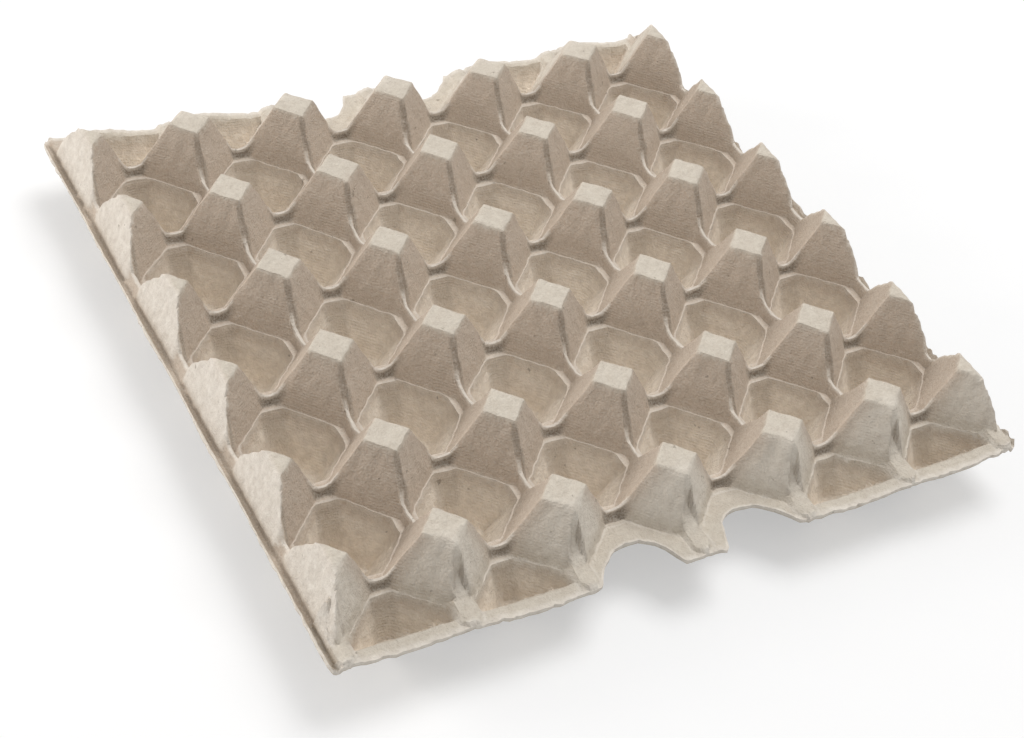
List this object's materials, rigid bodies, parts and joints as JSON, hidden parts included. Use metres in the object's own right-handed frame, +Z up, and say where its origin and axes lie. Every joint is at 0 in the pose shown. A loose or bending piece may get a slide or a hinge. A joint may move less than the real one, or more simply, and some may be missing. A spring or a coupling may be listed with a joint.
{
  "type": "pulp egg tray",
  "caption": "Square moulded pulp tray with a grid of cup-shaped egg cells, flat-topped posts between them and finger notches in two opposite rims.",
  "frame": {"origin": "on the floor, below the centre of the tray", "axes": "+X along the six-cell side, +Y along the five-cell side from the front notched rim to the back one, +Z up out of the cells"},
  "size_m": [0.296, 0.298, 0.047],
  "materials": {
    "pulp": "matte"
  },
  "bodies": {
    "root": {"egg_tray": "pulp"}
  },
  "joints": []
}
